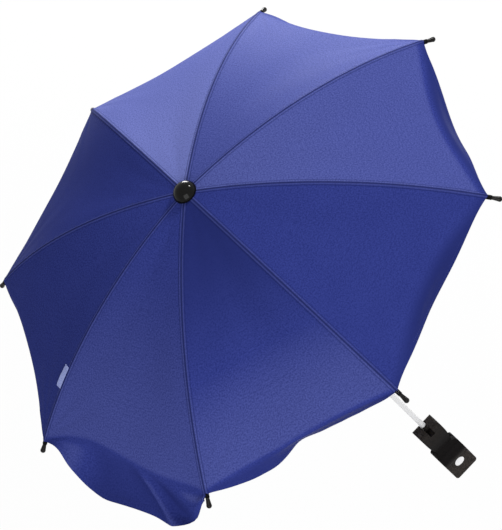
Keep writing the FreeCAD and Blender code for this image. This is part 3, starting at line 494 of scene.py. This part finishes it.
# canopy: eight gores on one dome, each cut as the frame's solids are and then sewn, pulled and creased
goreCount = 8
half = math.pi / goreCount  # the angle of half a gore
canopy = {
    "rimRadius": 350, "apexHeight": 793, "eye": 4.5, "cornerTurn": 1.5, "cloth": 0.5,  # mm
    "crownSlope": 2.5, "rimSlope": 37.5,  # degrees
    "hemDip": (17.3, 24, 19, 12.6, 14, 7.5, 14.4, 12.5),  # how far each hem dips in between its tips, mm
    "valance": (45, 45, 45, 45, 0, 0, 39, 43),  # its depth, mm; flaps gives that of the loose ones
    "taper": 1.8,  # how slowly it gains its depth from the tips inward
    "lean": (-15, -6, -6, -13, 58, -24, -13.5, 0.5),  # how it hangs, degrees outward from straight down
    "creaseRound": (9, 9, 9, 9, 7, 6, 15, 14),  # mm
    "creaseShare": 0.6, "creaseLeast": 1,  # of the valance at most, and left sharp below this, mm
    "foldReach": 20,  # how far from its rib the cloth turns as the frame folds, mm
    "ease": (1.02, 1.01),  # width and length of the flat cloth over those of the stretched
    # two loose valances, by gore, from rib to rib: how far out the crease lies and how deep they are in mm,
    # how many degrees they swing in from the general lean and lean out more at the edge than on average,
    # and the crests and valleys of their slanting folds in mm, with the light and shade painted over the
    # folds
    "flapAcross": (-1, -0.8, -0.6, -0.4, -0.2, 0, 0.2, 0.4, 0.6, 0.8, 1),
    "flaps": {
        5: {
            "crease": (0, -4, -4, -2, 3, 7, 10, 11, 9, 4, 0),
            "depth": (1.5, 13, 42, 60, 65, 59, 54, 52, 60, 46, 4),
            "swing": (0, 0, 0, 0, 0, 0, 0, 0, 0, 0, 0),
            "flare": 34, "spread": 0.14,
            "foldAt": (-1, -0.82, -0.62, -0.3, 0, 0.18, 0.30, 0.46, 0.64, 0.80, 1),
            "fold": (0, 6, 5, -6, -7, -5, 9, -10, 5, 8, 0),
            # painted light and shade over the folds
            "foldPaintedLight": (0, 0.08, 0.26, -0.20, -0.10, -0.25, 0.32, -0.38, -0.12, 0.34, 0),
            "foldSpread": 0.07, "slant": 0.5,
        },
        6: {
            "crease": (0, 1.8, 3.4, 4.8, 5.8, 5, 4.2, 3.2, 2.4, 1, 0),
            "depth": (1.5, 13, 26, 37, 40, 34, 32, 32, 30, 20, 1.5),
            "swing": (30, 15, 5, 1, 5, 7, 5, 12, 27, 46, 60),
            "flare": 0, "spread": 0.10,
            "foldAt": (-1, -0.5, -0.3, -0.1, 0.1, 1),
            "fold": (0, 1, 2, -2, 0, 0),
            # painted shade over the folds
            "foldPaintedLight": (-0.1, -0.14, -0.1, -0.3, -0.4, -0.4),
            "foldSpread": 0.1, "slant": 0,
        },
    },
    # how the cloth stands off that shape, in mm; the Turn values keep any two gores from matching
    "relief": {
        "sag": 3.5, "sagBroad": 1.3, "sagLow": 1.4,  # above 1, it gathers towards the middle and the crease
        "seamRise": 0.45, "welt": (3.0, 4.2), "seamSink": 0.35, "seamSinkWide": 0.5,
        "pucker": 0.2, "puckerWaves": (11.3, 7.1), "puckerShare": 0.6, "puckerAt": 5, "puckerWide": 3.5,
        "pull": 0.5, "pullCount": 11, "pullTurn": (1.7, 2.1), "pullReach": 65, "pullFrom": (6, 30),
        "ripple": 0.5, "rippleLength": 47, "rippleTurn": 1.3, "rippleAcross": (3, 3.4), "rippleFrom": (4, 30),
        "flutter": 1.2, "flutterAcross": 5.5, "flutterTurn": 1.9, "flutterFrom": (0, 0.4),
        "foldGrowth": 0.9,  # the power of the share of a flap's depth that its folds grow with
        "foldPivot": 0.3, "foldSlantFrom": (-0.2, 0.3),  # places down a flap and across it, as in flapAcross
        "hem": 9, "hemStep": 1, "hemRise": 0.35, "hemFrom": (4, 12),
    },
    # the points of a gore
    "net": {
        "columns": 24, "rows": 140, "valanceRows": 22,
        "rowsCloser": 0.88,  # below 1, rows lie closer towards the rim
        "seamSteps": (0, 0.4, 0.9, 1.5, 2.2, 3.0, 3.7, 4.6, 6.5, 9.5),  # mm
        "seamShare": 2.5,  # they close up where half the gore is narrower than this many times the last
    },
}
flaps, relief, clothNet = canopy["flaps"], canopy["relief"], canopy["net"]
rim, eye, cornerTurn = (canopy[key] * mm for key in ("rimRadius", "eye", "cornerTurn"))
crownSlope, rimSlope = math.radians(canopy["crownSlope"]), math.radians(canopy["rimSlope"])
dome = rim / (math.sin(rimSlope) - math.sin(crownSlope))
domeReach = -dome * math.sin(crownSlope)
domeHeight = canopy["apexHeight"] * mm - dome * math.cos(crownSlope)
creaseRow = clothNet["rows"]


def slopeAt(reach):
    return np.arcsin((reach - domeReach) / dome)


def smooth(value, low, high):
    share = np.clip((value - low) / (high - low), 0, 1)
    return share * share * (3 - 2 * share)


def runAlong(line):
    # the way travelled to each point of a line
    return np.concatenate([[0], np.cumsum(np.linalg.norm(np.diff(line, axis=0), axis=1))])


def softBetween(at, places, values, spread):
    # joins the values with a smooth line
    steps = np.linspace(-1, 1, 17)
    weights = np.cos(steps * math.pi / 2) ** 2
    lines = [weight * np.interp(at + spread * step, places, values) for step, weight in zip(steps, weights)]
    return sum(lines) / weights.sum()


def layNet():
    # columns follow the seams at fixed distances, then spread over the rest of the half gore
    size = clothNet
    fall = np.linspace(0, 1, size["rows"] + 1) ** size["rowsCloser"]
    ribReach = domeReach + dome * np.sin(slopeAt(eye) + fall * (slopeAt(rim - cornerTurn) - slopeAt(eye)))
    wide = ribReach * math.sin(half)
    steps = np.array(size["seamSteps"]) * mm
    near = steps * np.minimum(1, wide / (size["seamShare"] * steps[-1]))[:, None]
    spread = np.linspace(0, 1, size["columns"] + 1)[1:]
    aside = np.hstack([near, near[:, -1:] + (wide[:, None] - near[:, -1:]) * spread])
    part = np.clip(1 - np.arctan2(math.sin(half) - aside / ribReach[:, None], math.cos(half)) / half, 0, 1)
    part[:, 0], part[:, -1] = 0, 1

    def wholeGore(columns):
        # down over the valance, and from one half to both
        columns = np.vstack([columns, np.repeat(columns[-1:], size["valanceRows"], 0)])
        return np.hstack([columns, columns[:, -2::-1]])

    part, aside = wholeGore(part), wholeGore(aside)
    side = np.where(np.arange(part.shape[1]) < part.shape[1] // 2, -1, 1)
    down = np.arange(1, size["valanceRows"] + 1) / size["valanceRows"]
    return {
        "part": part,  # 0 at a rib to 1 in the middle
        "aside": aside, "side": side,  # distance from the seam, and which half
        "across": side * (1 - part),
        "flat": math.cos(half) / np.cos(half * (1 - part)),
        "bow": 1 - (1 - part) ** 2,
        "fall": np.concatenate([fall, np.ones(size["valanceRows"])])[:, None],
        "below": np.concatenate([np.zeros(creaseRow + 1), down])[:, None] * np.ones(part.shape[1]),
    }


net = layNet()
middle = net["part"].shape[1] // 2
halves = {"left": slice(0, middle + 1), "right": slice(middle, None)}


def flapLine(flap, key, at):
    return softBetween(at, canopy["flapAcross"], flap[key], flap["spread"])


def foldLine(flap, key):
    # the folds slant where foldSlantFrom says
    across, below = net["across"], net["below"]
    slant = flap["slant"] * (below - relief["foldPivot"]) * smooth(across, *relief["foldSlantFrom"])
    return softBetween(across - slant, flap["foldAt"], flap[key], flap["foldSpread"])


def roundCreases(reach, height, lengths, radius):
    for column in range(reach.shape[1]):
        along = runAlong(np.stack([reach[:, column], height[:, column]], 1))
        along -= along[creaseRow]
        width = min(radius, canopy["creaseShare"] * lengths[column])
        if width < canopy["creaseLeast"] * mm:
            continue
        near = np.abs(along) < width
        share = (along[near] + width) / (2 * width)
        before, between, after = (1 - share) ** 2, 2 * share * (1 - share), share**2
        for line in (reach, height):
            start, end = np.interp((-width, width), along, line[:, column])
            line[near, column] = before * start + between * line[creaseRow, column] + after * end


def drape(number):
    # how far out and how high the cloth lies, and how deep its valance is
    index, flap = number - 1, flaps.get(number)
    flat, bow, across = net["flat"], net["bow"], net["across"]
    dip = canopy["hemDip"][index] * bow
    if flap:
        dip = dip - flapLine(flap, "crease", across)
    first, last = slopeAt(eye / flat), slopeAt((flat * (rim - cornerTurn) - dip * mm) / flat)
    slope = first + net["fall"] * (last - first)
    reach = flat * (domeReach + dome * np.sin(slope))
    height = domeHeight + dome * np.cos(slope)
    # the valance goes on from the crease
    bow, across, below = bow[-1], across[-1], net["below"][creaseRow + 1:]
    lean = (math.pi / 2 - last[-1]) * (1 - bow) + math.radians(canopy["lean"][index]) * bow
    if flap:
        length = flapLine(flap, "depth", across) * mm
        lean = lean - np.radians(flapLine(flap, "swing", across))
        lean = lean + math.radians(flap["flare"]) * bow * (2 * below - 1 - 1 / len(below))
    else:
        gained = 1 - (1 - net["part"][-1] ** canopy["taper"]) ** 2
        length = cornerTurn + canopy["valance"][index] * mm * gained
    step = np.ones(below.shape) * length / len(below)
    reach[creaseRow + 1:] = reach[creaseRow] + np.cumsum(step * np.sin(lean), 0)
    height[creaseRow + 1:] = height[creaseRow] - np.cumsum(step * np.cos(lean), 0)
    roundCreases(reach, height, length, canopy["creaseRound"][index] * mm)
    return reach, height, length


def standOff(number, run, length):
    # sag, seams, puckers, pulls, folds and the turned hem, in mm
    size, flap = relief, flaps.get(number)
    side, across, below = net["side"], net["across"], net["below"]
    crease, seam = run[creaseRow], net["aside"] / mm
    hollow = np.clip(run / crease, 0, 1) ** size["sagLow"]
    lift = -size["sag"] * np.sin(net["part"] * math.pi / 2) ** size["sagBroad"] * 4 * hollow * (1 - hollow)
    lift += size["seamRise"] * (1 - smooth(seam, *size["welt"]))
    lift -= size["seamSink"] * np.exp(-((seam / size["seamSinkWide"]) ** 2))
    long, short = (2 * math.pi * run / (wave * mm) for wave in size["puckerWaves"])
    wave = np.sin(long + number) + size["puckerShare"] * np.sin(short + 2 * number + side)
    lift += size["pucker"] * wave * np.exp(-(((seam - size["puckerAt"]) / size["puckerWide"]) ** 2))
    # pulls fan in from the corners
    inward = np.maximum(crease - run, 0) / mm
    ray, far = np.arctan2(seam, inward + 1e-3), np.hypot(seam, inward)
    goreTurn, sideTurn = size["pullTurn"]
    fan = np.sin(size["pullCount"] * ray + goreTurn * number + sideTurn * side)
    fan = fan * np.sin(np.clip(2 * ray, 0, math.pi))
    lift += size["pull"] * fan * np.exp(-far / size["pullReach"]) * smooth(far, *size["pullFrom"])
    slanted, upright = (count * across for count in size["rippleAcross"])
    ripple = np.sin(run / (size["rippleLength"] * mm) + size["rippleTurn"] * number + slanted)
    lift += size["ripple"] * ripple * np.sin(upright + number) * smooth(seam, *size["rippleFrom"])
    if flap:
        lift += foldLine(flap, "fold") * below ** size["foldGrowth"]
    else:
        flutter = np.sin(size["flutterAcross"] * across + size["flutterTurn"] * number)
        lift += size["flutter"] * flutter * below * smooth(net["part"], *size["flutterFrom"])
    hem = 1 - smooth((run[-1] - run) / mm, size["hem"] - size["hemStep"], size["hem"])
    hem = hem * smooth(length / mm, *size["hemFrom"]) * (below > 0)
    return lift + size["hemRise"] * hem, hem


def paintedLightOf(number, run):
    # painted sheen and shade: how pale or deep the cloth is painted
    size, index, crease = clothFinish, number - 1, run[creaseRow]
    crown, rimward, edge = size["paintedLight"][index]
    paintedLight = crown + (rimward - crown) * smooth(np.clip(run / crease, 0, 1), *size["paintedLightRun"])
    past = (run - crease) / (canopy["creaseRound"][index] * mm)
    paintedLight += (edge - paintedLight) * smooth(past, *size["paintedLightCrease"])
    # painted light and shade over a loose valance's folds
    if number in flaps:
        paintedLight += foldLine(flaps[number], "foldPaintedLight") * smooth(net["below"], *size["paintedLightFold"])
    return paintedLight


def shapeGore(number):
    reach, height, length = drape(number)
    steps = np.hypot(np.diff(reach, axis=0), np.diff(height, axis=0))
    run = np.vstack([np.zeros(reach.shape[1]), np.cumsum(steps, 0)])
    lift, hem = standOff(number, run, length)
    thick = canopy["cloth"] + 2 * relief["hemRise"] * hem
    alongReach, alongHeight = np.gradient(reach, axis=0), np.gradient(height, axis=0)
    scale = (np.hypot(alongReach, alongHeight) + 1e-12) / mm
    angle = (number - 0.5) * 2 * half + net["across"] * half

    def placed(offset):
        out = reach - offset * alongHeight / scale
        return np.stack([out * np.cos(angle), out * np.sin(angle), height + offset * alongReach / scale], 2)

    outer = placed(lift)
    return {
        "outer": outer, "inner": placed(lift - thick),
        "normal": unit(np.cross(np.gradient(outer, axis=0), np.gradient(outer, axis=1))),
        "cut": np.stack([net["aside"], run], 2),
        "paintedLight": paintedLightOf(number, run), "toEdge": run[-1] - run, "length": length,
    }


def makeMesh(name, points, faces, finish, normals=None, cut=None):
    mesh = bpy.data.meshes.new(name)
    mesh.from_pydata(points, [], faces)
    mesh.materials.append(finish)
    mesh.polygons.foreach_set("use_smooth", np.ones(len(mesh.polygons), bool))
    if cut is not None:
        layer = mesh.uv_layers.new(name="cut")
        corners = np.zeros(len(mesh.loops), np.int32)
        mesh.loops.foreach_get("vertex_index", corners)
        layer.data.foreach_set("uv", cut[corners].astype(np.float32).ravel())
    if normals is not None:
        mesh.normals_split_custom_set_from_vertices(normals)
    return addItem(name, mesh)


def shell(outer, inner):
    # points and faces of a closed sheet: its outside, its inside and the strip round its edge
    rows, columns = outer.shape[:2]
    grid = np.arange(rows * columns).reshape(rows, columns)
    top = np.stack([grid[:-1, :-1], grid[1:, :-1], grid[1:, 1:], grid[:-1, 1:]], 2).reshape(-1, 4)
    under = top[:, ::-1] + grid.size
    ring = np.concatenate([grid[:-1, 0], grid[-1, :-1], grid[:0:-1, -1], grid[0, :0:-1]])
    after = np.roll(ring, -1)
    edge = np.stack([after, ring, ring + grid.size, after + grid.size], 1)
    points = np.vstack([outer.reshape(-1, 3), inner.reshape(-1, 3)])
    return points, np.vstack([top, under, edge]).tolist()


def ribWay(number):
    # outward along a rib, as seen from above, and square to it
    angle = (number - 1) * 2 * half
    return np.array([math.cos(angle), math.sin(angle), 0]), np.array([-math.sin(angle), math.cos(angle), 0])


def sewOn(item):
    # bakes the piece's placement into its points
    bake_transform(item)


def makeHalfGore(number, halfName):
    keys = ("outer", "inner", "normal", "cut", "paintedLight")
    part = {key: gores[number][key][:, halves[halfName]] for key in keys}
    points, faces = shell(part["outer"], part["inner"])
    normals, cut = part["normal"].reshape(-1, 3), part["cut"].reshape(-1, 2)
    both = {"normals": np.vstack([normals, -normals]), "cut": np.vstack([cut, cut])}
    item = makeMesh("cloth_%d_%s" % (number, halfName), points, faces, finishes["canopy_cloth"], **both)
    # painted sheen and shade for the cloth finish
    paintedLight = item.data.attributes.new("paintedLight", "FLOAT", "POINT")
    paintedLight.data.foreach_set("value", np.tile(part["paintedLight"].ravel(), 2).astype(np.float32))
    sewOn(item)
    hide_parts("gore_%d_%s" % (number, halfName))


gores = {number: shapeGore(number) for number in range(1, goreCount + 1)}
for number in gores:
    for halfName in halves:
        makeHalfGore(number, halfName)
print("canopy: %d half gores" % (len(gores) * len(halves)))


# sewing: two rows along every seam and one round every hem
stitch = {
    "length": 2.4, "gap": 0.9, "hemIn": 7.2,  # mm
    "thread": 0.22,  # its radius, mm
    "shortest": 16,  # valance that gets a hem row, mm
    "seamColumn": 4, "underCap": 9,  # the cap hides the first ninth of a seam's rows
    "sides": 6,
    # rings along one stitch: where they are in shares of its length, how wide and how high in thread radii
    "ringAt": (0, 0.2, 0.5, 0.8, 1),
    "ringWide": (0.35, 0.9, 1, 0.9, 0.35),
    "ringRise": (-0.6, 0.15, 0.35, 0.15, -0.6),
}


def ringFaces(rings, sides):
    # faces of a tube with closed ends
    base = np.arange(rings * sides).reshape(rings, sides)
    after = np.roll(base, -1, 1)
    quads = np.stack([base[:-1], after[:-1], after[1:], base[1:]], 2).reshape(-1, 4)
    return quads.tolist() + [base[0, ::-1].tolist(), base[-1].tolist()]


def joined(pieces):
    points, faces, count = [], [], 0
    for more, moreFaces in pieces:
        points.append(more)
        faces += [[v + count for v in face] for face in moreFaces]
        count += len(more)
    return np.vstack(points), faces


def stitchRow(line, normal):
    # raised stitches along a line on the cloth, each dipping into it at both ends
    size = stitch
    length, gap, thread = (size[key] * mm for key in ("length", "gap", "thread"))
    wide, rise = np.array(size["ringWide"]) * thread, np.array(size["ringRise"]) * thread
    run = runAlong(line)
    starts = np.arange(gap, run[-1] - length, length + gap)
    at = starts[:, None] + np.array(size["ringAt"]) * length
    centre, up = (np.stack([np.interp(at, run, axis) for axis in values.T], 2) for values in (line, normal))
    side = np.cross(unit(centre[:, -1:] - centre[:, :1]), up)
    turn = np.arange(size["sides"])[:, None] * 2 * math.pi / size["sides"]
    out = np.cos(turn) * side[:, :, None] + np.sin(turn) * up[:, :, None]
    rings = (centre + up * rise[:, None])[:, :, None] + wide[:, None, None] * out
    faces = ringFaces(len(wide), size["sides"])
    return joined([(points, faces) for points in rings.reshape(len(starts), -1, 3)])


def makeSeamRows(number):
    rows = slice(clothNet["rows"] // stitch["underCap"], creaseRow + 1)
    before, column = gores[(number - 2) % goreCount + 1], stitch["seamColumn"]
    beside = ((gores[number], column), (before, -1 - column))
    lines = [stitchRow(gore["outer"][rows, c], gore["normal"][rows, c]) for gore, c in beside]
    points, faces = joined(lines)
    item = makeMesh("seam_stitches_%d" % number, points, faces, sewingThread)
    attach(item, "rib_%d" % number)


def makeHemRow(number, halfName):
    gore, hemIn, shortest = gores[number], stitch["hemIn"] * mm, stitch["shortest"] * mm
    columns = range(2 * middle + 1)[halves[halfName]]
    columns = [c for c in columns if gore["length"][c] >= shortest]

    def onHem(key):
        # read upwards from the edge
        lines = [(gore["toEdge"][::-1, c], gore[key][::-1, c]) for c in columns]
        return np.array([[np.interp(hemIn, up, axis) for axis in values.T] for up, values in lines])

    points, faces = stitchRow(onHem("outer"), onHem("normal"))
    item = makeMesh("hem_stitches_%d_%s" % (number, halfName), points, faces, sewingThread)
    sewOn(item)


for number in gores:
    makeSeamRows(number)
for number in gores:
    for halfName in halves:
        makeHemRow(number, halfName)
print("sewing: %d seams, %d hems" % (len(gores), len(gores) * len(halves)))


# thread that binds each corner of the cloth to its tip and ties the cloth to the ribs
binding = {
    "thread": 0.32,  # its radius, mm
    "radius": 2.75, "back": 2.6, "forward": 4.6, "rise": -3.15,  # mm, at the tip
    "tieAt": (170, 236, 300), "tieRadius": 2.5, "tieRise": -3.35,  # mm, along the rib
    "tieTurns": 3, "tieGap": 1.6,  # from turn to turn, in thread radii
    "stepsPerTurn": 18, "sides": 6,
}


def tube(centre, out, over, radius, sides):
    # a round wire along a line, with two directions across it at every point
    turn = np.arange(sides)[:, None] * 2 * math.pi / sides
    rings = centre[:, None] + radius * (np.cos(turn) * out[:, None] + np.sin(turn) * over[:, None])
    return rings.reshape(-1, 3), ringFaces(len(centre), sides)


def coil(middle, way, side, radius, length, turns):
    # thread wound round a bar that runs through the middle
    steps = int(binding["stepsPerTurn"] * turns) + 1
    angle = np.linspace(0, 2 * math.pi * turns, steps)[:, None]
    out = np.cos(angle) * side + np.sin(angle) * np.cross(way, side)
    centre = middle + out * radius + np.linspace(-0.5, 0.5, steps)[:, None] * length * way
    return tube(centre, out, np.tile(way, (steps, 1)), binding["thread"] * mm, binding["sides"])


def onRib(number, reach, rise):
    # a spot that rises off the seam over a rib, the way of the rib there and the way across it
    slope = float(slopeAt(reach))
    out, over = ribWay(number)
    up = np.array([0, 0, 1])
    spot = out * (domeReach + (dome + rise) * math.sin(slope))
    spot = spot + up * (domeHeight + (dome + rise) * math.cos(slope))
    return spot, out * math.cos(slope) - up * math.sin(slope), over


def makeBindings(number):
    size = binding
    thread = size["thread"] * mm
    length = (size["forward"] + size["back"]) * mm
    reach = canopy["rimRadius"] + (size["forward"] - size["back"]) / 2
    place = onRib(number, reach * mm, size["rise"] * mm)
    wound = coil(*place, size["radius"] * mm, length, length / (2 * thread))
    tieLength = size["tieGap"] * size["tieTurns"] * thread
    places = [onRib(number, reach * mm, size["tieRise"] * mm) for reach in size["tieAt"]]
    ties = joined([coil(*place, size["tieRadius"] * mm, tieLength, size["tieTurns"]) for place in places])
    for name, mesh, finish in (("tip_binding_%d", wound, blackThread), ("rib_ties_%d", ties, sewingThread)):
        item = makeMesh(name % number, *mesh, finish)
        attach(item, "rib_%d" % number)


for number in gores:
    makeBindings(number)
print("bindings: %d tips, %d ties" % (len(gores), len(gores) * len(binding["tieAt"])))


# the folded tag that is caught in the seam over rib 5, on the fourth gore's side
tag = {
    "reach": 271.5, "length": 31, "width": 9, "offset": 1.2, "gap": 0.9, "tape": 0.3, "above": 0.5,  # mm
    "sewn": (0, 4), "pressed": 0.35,  # flat where it is caught in the seam, mm
    "lift": 0.8, "liftFrom": (2, 9), "curl": 0.5, "curlFrom": (1, 9),  # mm
    "curlTurn": (5.2, 0.6),  # angle over its length and at its middle
    "flatSteps": 10, "turnSteps": 9, "lengthSteps": 25,
}


def makeTag():
    size = tag
    spot, down, over = onRib(5, size["reach"] * mm, 0)
    up = np.cross(down, over)
    fall = math.atan(math.tan(half) * math.sin(slopeAt(size["reach"] * mm)))
    away = -over * math.cos(fall) - up * math.sin(fall)
    lift = up * math.cos(fall) - over * math.sin(fall)
    # tape runs out from the seam, folds over at the far edge and comes back on top
    loop = size["gap"] / 2
    turn = np.linspace(-math.pi / 2, math.pi / 2, size["turnSteps"])[1:-1]
    flatPart = np.linspace(0, size["width"] - loop, size["flatSteps"])
    aside = np.concatenate([flatPart, size["width"] - loop + loop * np.cos(turn), flatPart[::-1]])
    high = np.concatenate([0 * flatPart, loop + loop * np.sin(turn), 0 * flatPart + 2 * loop])
    free = smooth(aside, *size["sewn"])
    high = high * free + size["pressed"] * (1 - free) * np.linspace(0, 1, len(high))
    high += size["lift"] * smooth(aside, *size["liftFrom"])
    share = np.linspace(-0.5, 0.5, size["lengthSteps"])[:, None]
    along = share * size["length"]
    count, start = size["curlTurn"]
    curl = size["curl"] * np.sin(share * count + start) * smooth(aside, *size["curlFrom"])
    rise = size["above"] + high - along**2 / (2 * dome / mm) + curl
    sideways = (size["offset"] + aside)[:, None] * away
    outer = spot + mm * (along[:, :, None] * down + sideways + rise[:, :, None] * lift)
    normal = unit(np.cross(np.gradient(outer, axis=0), np.gradient(outer, axis=1)))
    points, faces = shell(outer, outer - normal * size["tape"] * mm)
    run = runAlong(np.stack([aside, high], 1))
    cut = np.stack(np.broadcast_arrays(run, along), 2).reshape(-1, 2) * mm
    item = makeMesh("folded_tag", points, faces, finishes["tag_cloth"], cut=np.vstack([cut, cut]))
    sewOn(item)
    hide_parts("seam_tag")


makeTag()
print("tag: folded tape")


# the clip's torsion spring: turns wound round the hinge, one leg on the front arm
# and the other on the lever
clipSpring = {
    "radius": 3.4, "wire": 1.2, "pitch": 1.8, "leg": 12, "hinge": 27,  # mm
    "turns": 4, "splay": 27,  # degrees between the legs
    "stepsPerTurn": 20, "legSteps": 6, "sides": 12,
}


def makeClipSpring():
    size = clipSpring
    turning = size["turns"] * 360 + 180 - size["splay"]
    width = turning * size["pitch"] / 360
    share = np.linspace(0, 1, size["stepsPerTurn"] * size["turns"] + 1)
    angle = np.radians(180 + share * turning)
    none = np.zeros(len(angle))
    out = np.stack([none, np.cos(angle), np.sin(angle)], 1)
    line = out * size["radius"] + np.stack([(share - 0.5) * width, none, none + size["hinge"]], 1)
    way = np.stack([none, -np.sin(angle), np.cos(angle)], 1) * size["radius"]
    way = unit(way + np.array([size["pitch"] / (2 * math.pi), 0, 0]))
    leg = np.linspace(0, size["leg"], size["legSteps"] + 1)[1:, None]
    line = np.vstack([line[0] - way[0] * leg[::-1], line, line[-1] + way[-1] * leg])
    out, way = (np.pad(axis, ((size["legSteps"], size["legSteps"]), (0, 0)), "edge") for axis in (out, way))
    points, faces = tube(line * mm, out, np.cross(way, out), size["wire"] * mm / 2, size["sides"])
    item = makeMesh("wound_spring", points, faces, finishes["pin_steel"])
    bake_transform(item)
    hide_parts("clip_spring")


makeClipSpring()
print("spring: %d turns" % clipSpring["turns"])
